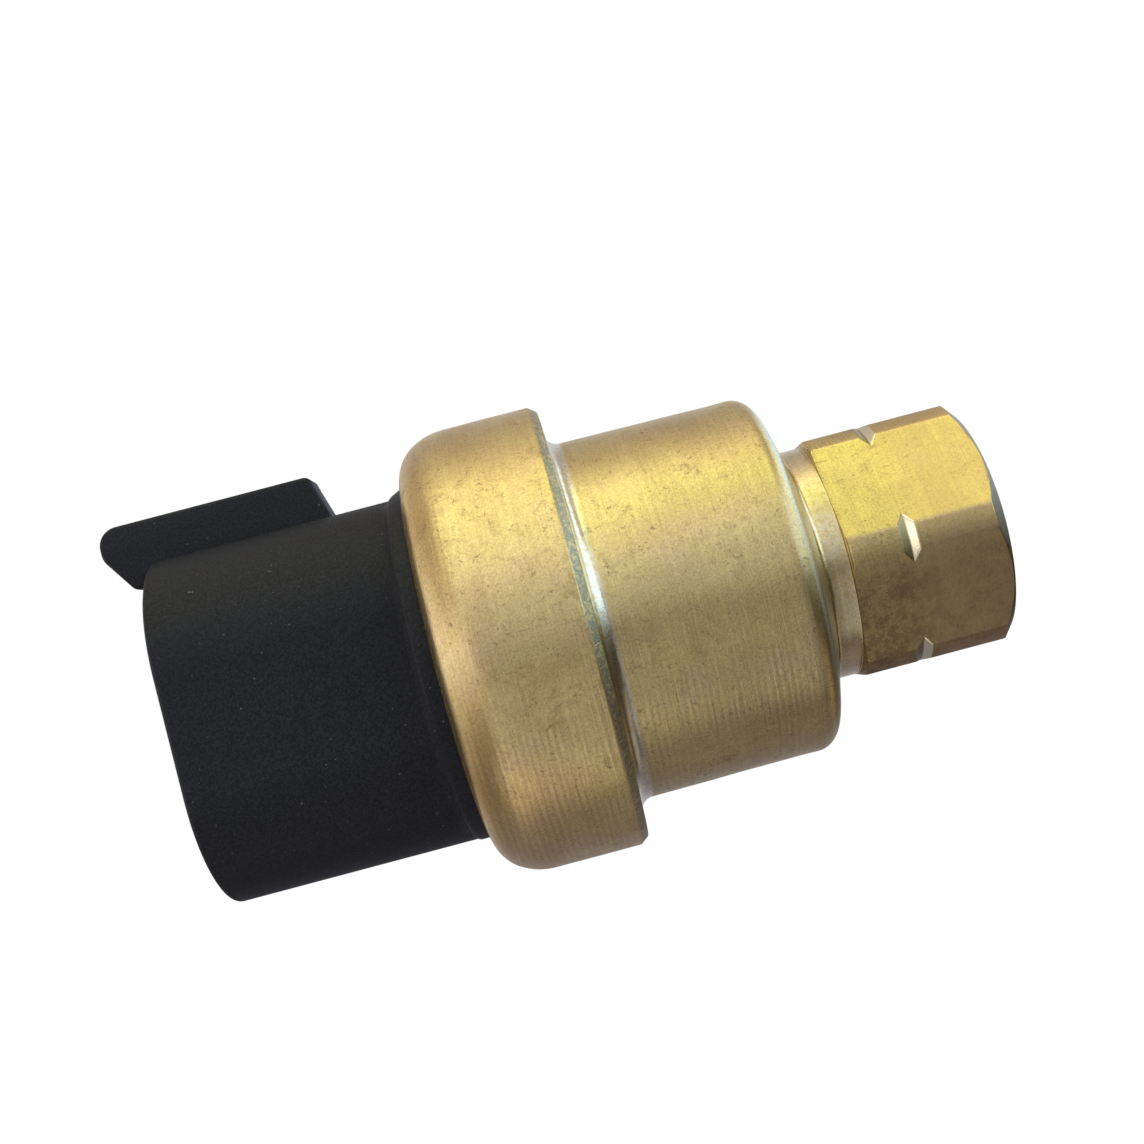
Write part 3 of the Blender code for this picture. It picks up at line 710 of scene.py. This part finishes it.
def obround_columns(count):
    """Angles about the origin of points spaced evenly round the shroud."""
    straight = SHROUD_HALF_X - SHROUD_HALF_Y
    arc = math.pi * SHROUD_HALF_Y
    total = 2 * arc + 4 * straight
    angles = []
    for i in range(count):
        s = total * i / count
        if s < arc / 2:
            t = s / SHROUD_HALF_Y
            x, y = straight + SHROUD_HALF_Y * math.cos(t), SHROUD_HALF_Y * math.sin(t)
        elif s < arc / 2 + 2 * straight:
            x, y = straight - (s - arc / 2), SHROUD_HALF_Y
        elif s < 1.5 * arc + 2 * straight:
            t = (s - 2 * straight) / SHROUD_HALF_Y
            x, y = -straight + SHROUD_HALF_Y * math.cos(t), SHROUD_HALF_Y * math.sin(t)
        elif s < 1.5 * arc + 4 * straight:
            x, y = -straight + (s - 1.5 * arc - 2 * straight), -SHROUD_HALF_Y
        else:
            t = (s - 4 * straight) / SHROUD_HALF_Y
            x, y = straight + SHROUD_HALF_Y * math.cos(t), SHROUD_HALF_Y * math.sin(t)
        angles.append(math.atan2(y, x + SHROUD_X))
    return np.unwrap(np.array(angles))


def obround_radius(angle, grow):
    """Distance from the axis to the shroud's outline, moved outwards by grow."""
    half_y = SHROUD_HALF_Y + grow
    straight = SHROUD_HALF_X - SHROUD_HALF_Y
    c, s = np.cos(angle), np.sin(angle)
    side = half_y / np.maximum(np.abs(s), 1e-9)
    on_side = np.abs(side * c - SHROUD_X) <= straight
    centre = SHROUD_X + np.where(c > 0, straight, -straight)
    along = centre * c
    end = along + np.sqrt(np.maximum(along * along - centre * centre + half_y * half_y, 0))
    return np.where(on_side, side, end)


def quarter(count, skip=0):
    """Angles from 0 to 90 degrees in even steps, without the first few."""
    return [math.radians(90 * i / count) for i in range(skip, count + 1)]


def housing_rows():
    """Rows of (kind, size, z): circles in the turned base, then the obround shroud outside and inside."""
    edge = RIM_Z - RIM_OUTER_EDGE
    floor = CAVITY_Z + CAVITY_EDGE
    wall_low, wall_high = BOSS_TOP + BOSS_COVE, edge + 0.1
    rows = [("circle", 0.5, BASE_CUP_Z), ("circle", BASE_CUP_R - 0.4, BASE_CUP_Z)]
    rows += [("circle", BASE_CUP_R, BASE_CUP_Z - 0.4), ("circle", BASE_CUP_R, BASE_LOW_Z + 0.1)]
    rows += [("circle", BASE_CUP_R + 0.1, BASE_LOW_Z), ("circle", BASE_R - 0.2, BASE_LOW_Z)]
    rows.append(("circle", BASE_R, BASE_LOW_Z + 0.2))
    for angle in quarter(9):
        r = RING_MOUTH + (RING_R - RING_MOUTH - BASE_GAP) * math.cos(angle)
        if r > RING_MOUTH + 0.1:
            rows.append(("circle", r, RING_SHOULDER + 2.25 * math.sin(angle)))
    rows += [("circle", BOSS_R + BOSS_STEP, z) for z in (35.4, 36.4)] + [("circle", BOSS_R, 36.6)]
    for angle in quarter(6):
        r = BOSS_R - BOSS_EDGE + BOSS_EDGE * math.cos(angle)
        rows.append(("circle", r, BOSS_TOP - BOSS_EDGE + BOSS_EDGE * math.sin(angle)))
    for angle in quarter(8):
        size = BOSS_COVE * (1 - math.sin(angle))
        rows.append(("shroud", size, BOSS_TOP + BOSS_COVE * (1 - math.cos(angle))))
    rows += [("shroud", 0.0, wall_low + (edge - wall_low) * i / 16) for i in range(1, 17)]
    for angle in quarter(5, 1):
        size = -RIM_OUTER_EDGE * (1 - math.cos(angle))
        rows.append(("shroud", size, edge + RIM_OUTER_EDGE * math.sin(angle)))
    for angle in quarter(5):
        size = RIM_INNER_EDGE - SHROUD_WALL - RIM_INNER_EDGE * math.sin(angle)
        rows.append(("shroud", size, RIM_Z - RIM_INNER_EDGE + RIM_INNER_EDGE * math.cos(angle)))
    rows += [("shroud", -SHROUD_WALL, wall_high - (wall_high - floor) * i / 12) for i in range(1, 13)]
    for angle in quarter(5, 1):
        size = -SHROUD_WALL - CAVITY_EDGE * (1 - math.cos(angle))
        rows.append(("shroud", size, floor - CAVITY_EDGE * math.sin(angle)))
    rows += [("shroud", -3.5, CAVITY_Z), ("shroud", -5.5, CAVITY_Z), ("circle", 0.5, CAVITY_Z)]
    return rows


def solid_from(name, outline, depth, along, at, bevel, segments=3):
    """Outline in x and z extruded along y, or in x and y extruded along z, with bevelled edges."""
    bm = bmesh.new()
    lift = (lambda a, b: (a, at, b)) if along == "y" else (lambda a, b: (a, b, at))
    face = bm.faces.new([bm.verts.new(Vector(lift(a, b)) * MM) for a, b in outline])
    moved = bmesh.ops.extrude_face_region(bm, geom=[face])["geom"]
    offset = Vector((0, depth, 0) if along == "y" else (0, 0, depth)) * MM
    bmesh.ops.translate(bm, vec=offset, verts=[v for v in moved if isinstance(v, bmesh.types.BMVert)])
    bmesh.ops.recalc_face_normals(bm, faces=bm.faces)
    sharp = [e for e in bm.edges if e.calc_face_angle(0) > math.radians(38)]
    bmesh.ops.bevel(bm, geom=sharp, offset=bevel * MM, segments=segments, profile=0.5, affect="EDGES")
    mesh = bpy.data.meshes.new(name)
    bm.to_mesh(mesh)
    bm.free()
    return mesh


def arc_points(x, z, radius, start, end, count):
    angles = [math.radians(start + (end - start) * i / count) for i in range(count + 1)]
    return [(x + radius * math.cos(a), z + radius * math.sin(a)) for a in angles]


def joined(obj, mesh, operation="UNION"):
    """Boolean of the object with a mesh, applied."""
    other = bpy.data.objects.new("joined_shape", mesh)
    bpy.context.scene.collection.objects.link(other)
    mesh.materials.clear()
    mesh.materials.append(obj.data.materials[0])
    modifier = obj.modifiers.new("join", "BOOLEAN")
    modifier.operation = operation
    modifier.solver = "EXACT"
    modifier.object = other
    bpy.context.view_layer.update()
    result = bpy.data.meshes.new_from_object(obj.evaluated_get(bpy.context.evaluated_depsgraph_get()))
    obj.modifiers.clear()
    obj.data = result
    bpy.data.objects.remove(other)
    return obj


def rib_mesh():
    """The lock rib: an upright plate on the shroud's +X end, rounded at its tip and sloping to the rim."""
    outer = SHROUD_X + SHROUD_HALF_X
    inner = outer - SHROUD_WALL
    tip_x, tip_z = RIB_TOP_X - RIB_TIP_R, RIB_TIP_Z - RIB_TIP_R
    outline = [(inner + 0.4, RIB_LOW_Z), (outer, RIB_LOW_Z + 0.4), (RIB_TOP_X - 0.9, RIB_LOW_Z + 1.1)]
    outline += arc_points(RIB_TOP_X - RIB_HEEL_R, RIB_LOW_Z + 1.75, RIB_HEEL_R, -65, 0, 4)
    outline += arc_points(tip_x, tip_z, RIB_TIP_R, 0, 90, 8)
    outline += arc_points(tip_x - 0.3, tip_z, RIB_TIP_R, 95, 120, 3)
    outline += [(inner + 0.2, RIM_Z + 2.0), (inner + 0.2, RIM_Z - 2.0)]
    return solid_from("rib", outline, RIB_THICKNESS, "y", RIB_SIDE_Y, 0.28)


def rectangle(x, half_x, half_y):
    return [(x - half_x, -half_y), (x + half_x, -half_y), (x + half_x, half_y), (x - half_x, half_y)]


def smooth(obj, sharp=40.0):
    """Smooth shading again after a Boolean, with true edges kept sharp."""
    obj.data.shade_smooth()
    obj.data.set_sharp_from_angle(angle=math.radians(sharp))


def connector_housing():
    """Turned base and obround shroud in one skin, with the rib, two collars and two blade slots."""
    angle = obround_columns(256)
    towards_rib = np.clip(np.cos(angle), 0, 1) ** 6
    shroud_r = obround_radius(angle, 0.0)
    rings = []
    last = shroud_r
    for kind, size, z in housing_rows():
        if kind == "circle":
            taper = 0.5 * max(0.0, min(1.0, z - 36.5)) * (size > 11.0)
            r = size - taper * towards_rib
            if z > BOSS_TOP - 0.5 and size > 11.0:
                r = np.maximum(r, shroud_r)
        else:
            r = obround_radius(angle, size)
            if z < BOSS_TOP + BOSS_COVE + 0.02:
                r = np.minimum(r, np.maximum(last, shroud_r))
        last = r
        rings.append(np.stack([r * np.cos(angle), r * np.sin(angle), z + 0 * angle], -1))
    housing = grid_object("connector_shell", np.array(rings), "black_plastic", False)
    joined(housing, rib_mesh())
    for x in (-TERMINAL_X, TERMINAL_X):
        joined(housing, solid_from("collar", rectangle(x, 2.1, 1.1), 0.9, "z", CAVITY_Z - 0.7, 0.2))
        joined(housing, solid_from("slot", rectangle(x, 1.2, 0.4), 8.0, "z", 35.0, 0.02, 1), "DIFFERENCE")
    smooth(housing)
    place(housing, "connector_housing")


# ---------------------------------------------------------------- small visible pieces

def terminals():
    """Each terminal: a pointed blade in the cavity, a thinner shank through the floor and a foot below."""
    for node, side, foot_z in (("terminal_a", -1, 31.2), ("terminal_b", 1, 33.6)):
        x = side * TERMINAL_X
        shoulder = BLADE_TIP_Z - BLADE_POINT
        outline = [(x - BLADE_HALF, BLADE_LOW_Z), (x + BLADE_HALF, BLADE_LOW_Z), (x + BLADE_HALF, shoulder)]
        outline += [(x + 0.7, BLADE_TIP_Z), (x - 0.7, BLADE_TIP_Z), (x - BLADE_HALF, shoulder)]
        mesh = solid_from(node, outline, BLADE_THICKNESS, "y", -BLADE_THICKNESS / 2, 0.12, 2)
        blade = shown("blade_" + node[-1], mesh, "tinned_brass")
        low, high = foot_z + FOOT_THICKNESS / 2, SHANK_TOP_Z
        shank = [(x - SHANK_HALF, low), (x + SHANK_HALF, low), (x + SHANK_HALF, high), (x - SHANK_HALF, high)]
        joined(blade, solid_from("shank", shank, SHANK_THICKNESS, "y", -SHANK_THICKNESS / 2, 0.08, 2))
        middle = side * (FOOT_FROM_X + FOOT_TO_X) / 2
        plate = rectangle(middle, (FOOT_TO_X - FOOT_FROM_X) / 2, FOOT_HALF_Y)
        joined(blade, solid_from("foot", plate, FOOT_THICKNESS, "z", foot_z, 0.15))
        smooth(blade)
        place(blade, node)


def ring_of(name, node, radius, z, section, material):
    """Ring of round section."""
    profile = [(radius + section * math.cos(a), z + section * math.sin(a)) for a in even_columns(28)]
    place(lathe(name, profile, material, 144), node)


def depressor():
    """Pin that opens a valve core, turned and then flattened on two sides so that gas can pass it."""
    hub_r, pin_r, low, high = 2.9, 0.9, 5.2, 12.5
    profile = rounded([
        (0.02, high), (1.2, high, 0.2), (1.2, 8.9, 0.1), (hub_r, 8.9, 0.15), (hub_r, 8.1, 0.15),
        (pin_r, 8.1, 0.2), (pin_r, low + 0.2, 0.25), (0.55, low, 0.15), (0.02, low),
    ], closed=False)
    pin = lathe("valve_pin", profile, "steel", 72, closed=False)
    joined(pin, solid_from("keep", rectangle(0, 4.0, 1.6), 9.0, "z", 4.0, 0.02, 1), "INTERSECT")
    smooth(pin)
    place(pin, "valve_depressor")


def snap_disc():
    """Dished spring disc, at rest. The real one flattens towards its rim as the pressure plate lifts its
    centre.
    """
    count, rim, low, dish, thick = 14, 8.2, 18.5, 0.5, 0.3
    top = [(max(0.02, rim * i / count), low + thick + dish * (i / count) ** 2) for i in range(count + 1)]
    under = [(r, z - thick) for r, z in reversed(top)]
    disc = lathe("snap_spring", top + under, "steel", 120, closed=False)
    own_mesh(disc)
    place(disc, "snap_disc")


# ---------------------------------------------------------------- floor, backdrop and light

FLOOR_R = 0.9
BACKDROP_R = 2.5
FLOOR_GAP = 0.1
KEY_AT = Vector((0.26, -0.16, 0.10))
KEY_AIM = Vector((0, 0, 0.03))
KEY_SIZE = (0.30, 0.22)
KEY_WATTS = 0.15



def white_glow(name, low, high):
    """Even white surface, with the faintest mottling."""
    made = bpy.data.materials.new(name)
    made.use_nodes = True
    made.node_tree.nodes.clear()
    tree = Tree(made.node_tree)
    light = tree.node("ShaderNodeEmission")
    tree.put(light.inputs["Color"], tree.mix(tree.noise(tree.coords(), 3.0, 2.0), low, high))
    tree.put(tree.node("ShaderNodeOutputMaterial").inputs["Surface"], light.outputs[0])
    return made


def floor_and_backdrop():
    """White floor under the port end and a white shell round everything, both seen by the camera only."""
    glow = white_glow("studio_white", (1.0, 1.0, 1.0), (1.02, 1.02, 1.02))
    for name in ("floor", "backdrop"):
        bm = bmesh.new()
        if name == "floor":
            bmesh.ops.create_circle(bm, cap_ends=True, segments=128, radius=FLOOR_R)
        else:
            bmesh.ops.create_uvsphere(bm, u_segments=48, v_segments=24, radius=BACKDROP_R)
        mesh = bpy.data.meshes.new(name)
        bm.to_mesh(mesh)
        bm.free()
        mesh.materials.append(glow)
        obj = bpy.data.objects.new(name, mesh)
        obj.location.z = -FLOOR_GAP * MM
        bpy.context.scene.collection.objects.link(obj)
        obj.visible_diffuse = False
        obj.visible_glossy = False
        obj.visible_transmission = False
        obj.visible_shadow = False


# Brightness of the studio round the axis, in degrees from -Y towards +X.
ROUND_LEVEL = [
    (-180, (0.72, 0.72, 0.76)), (-150, (0.30, 0.30, 0.36)), (-128, (0.20, 0.19, 0.23)),
    (-108, (0.22, 0.20, 0.22)), (-90, (0.16, 0.145, 0.155)), (-70, (0.40, 0.40, 0.43)),
    (-50, (0.37, 0.38, 0.42)), (-28, (0.43, 0.41, 0.42)), (-8, (0.25, 0.24, 0.26)),
    (10, (0.66, 0.68, 0.74)), (32, (0.78, 0.82, 0.86)), (50, (0.72, 0.73, 0.56)),
    (68, (1.02, 1.10, 0.54)), (88, (1.38, 1.32, 0.92)), (100, (0.90, 0.82, 0.68)),
    (116, (0.56, 0.50, 0.46)), (136, (0.46, 0.43, 0.45)), (160, (0.66, 0.66, 0.72)),
    (180, (0.72, 0.72, 0.76)),
]
# How fast that brightness grows along Z: (slope + 1.5) / 4 for each angle.
ALONG_SLOPE = [
    (-180, (0.375, 0.375, 0.375)), (-110, (0.5, 0.5, 0.5)), (-80, (0.8, 0.8, 0.8)),
    (-30, (1.0, 1.0, 1.0)), (6, (0.7, 0.7, 0.7)), (30, (0.2, 0.2, 0.2)),
    (50, (0.0, 0.0, 0.0)), (70, (0.0, 0.0, 0.0)), (100, (0.375, 0.375, 0.375)),
    (180, (0.375, 0.375, 0.375)),
]
# Brightness towards the plug end and towards the port end, by how far the direction leans to +X.
PLUG_LEVEL = [
    (-1.0, (0.26, 0.23, 0.23)), (-0.7, (0.20, 0.165, 0.155)), (-0.5, (0.28, 0.23, 0.20)),
    (-0.24, (0.62, 0.55, 0.55)), (-0.04, (1.15, 1.13, 1.13)), (0.1, (1.55, 1.55, 1.6)),
    (0.28, (0.95, 0.90, 0.86)), (0.46, (0.68, 0.58, 0.52)), (0.66, (0.54, 0.44, 0.38)),
    (1.0, (0.62, 0.52, 0.47)),
]
PORT_LEVEL = [
    (-1.0, (0.34, 0.33, 0.34)), (-0.72, (0.32, 0.27, 0.23)), (-0.55, (0.09, 0.075, 0.06)),
    (-0.36, (0.05, 0.04, 0.03)), (-0.12, (0.09, 0.08, 0.065)), (0.03, (0.42, 0.52, 0.55)),
    (0.16, (1.25, 1.6, 2.0)), (0.36, (1.15, 1.45, 1.8)), (0.54, (1.25, 1.42, 1.7)),
    (0.68, (0.62, 0.58, 0.42)), (1.0, (0.5, 0.48, 0.5)),
]
# Soft patches of light: direction, cosine at the inner and outer edge, brightness.
LIGHT_SPOTS = [
    ((-0.92, -0.28, 0.27), 0.99, 0.93, (0.85, 0.78, 0.70)),
]


def studio_light():
    """Soft surround: a bright side towards +X, a window towards the port end, a darker side towards -X."""
    world = bpy.data.worlds.new("studio")
    bpy.context.scene.world = world
    world.use_nodes = True
    tree = Tree(world.node_tree)
    background = world.node_tree.nodes["Background"]
    split = tree.node("ShaderNodeSeparateXYZ")
    tree.put(split.inputs[0], tree.node("ShaderNodeTexCoord").outputs["Generated"])
    away = tree.math("MULTIPLY", split.outputs["Y"], -1.0)
    turn = tree.math("ARCTAN2", split.outputs["X"], away)
    share = tree.math("ADD", tree.math("DIVIDE", turn, 2 * math.pi), 0.5)
    lean = tree.math("MULTIPLY_ADD", split.outputs["X"], 0.5, 0.5)

    def level(value, stops, low, high):
        placed = [((at - low) / (high - low), colour) for at, colour in stops]
        return tree.ramp(value, placed, "EASE")

    height = tree.math("MINIMUM", tree.math("MAXIMUM", split.outputs["Z"], -0.3), 0.06)
    height = tree.math("ADD", height, 0.08)
    growth = tree.math("MULTIPLY_ADD", level(share, ALONG_SLOPE, -180, 180), 4.0, -1.5)
    around = level(share, ROUND_LEVEL, -180, 180)
    around = tree.mix(1.0, around, tree.math("MULTIPLY_ADD", growth, height, 1.0), "MULTIPLY")
    plug = level(lean, PLUG_LEVEL, -1, 1)
    port = level(lean, PORT_LEVEL, -1, 1)
    upper = tree.mix(tree.step(split.outputs["Z"], 0.38, 0.62), around, plug)
    low = tree.math("MULTIPLY", split.outputs["Z"], -1.0)
    whole = tree.mix(tree.step(low, 0.42, 0.62), upper, port)
    for direction, inner, outer, colour in LIGHT_SPOTS:
        near = tree.node("ShaderNodeVectorMath", operation="DOT_PRODUCT")
        tree.put(near.inputs[0], tree.node("ShaderNodeTexCoord").outputs["Generated"])
        near.inputs[1].default_value = Vector(direction).normalized()
        whole = tree.mix(tree.step(near.outputs["Value"], outer, inner), whole, colour)
    tree.put(background.inputs["Color"], whole)
    background.inputs["Strength"].default_value = 1.0
    key = bpy.data.lights.new("key", "AREA")
    key.shape = "RECTANGLE"
    key.size, key.size_y = KEY_SIZE
    key.energy = KEY_WATTS
    key.color = (1.0, 0.98, 0.92)
    lamp = bpy.data.objects.new("key", key)
    aim = (KEY_AIM - KEY_AT).to_track_quat("-Z", "Y")
    lamp.matrix_world = Matrix.Translation(KEY_AT) @ aim.to_matrix().to_4x4()
    bpy.context.scene.collection.objects.link(lamp)
    bpy.context.scene.view_settings.view_transform = "Standard"


# ---------------------------------------------------------------- make everything

port_fitting()
body_can()
crimp_ring()
connector_housing()
terminals()
ring_of("port_seal", "port_o_ring", 3.95, 8.15, 0.7, "black_rubber")
depressor()
snap_disc()
floor_and_backdrop()
studio_light()

for node, obj in frame["nodes"].items():
    obj.data.materials.clear()
    obj.data.materials.append(MATERIALS[SLOTS[node]])
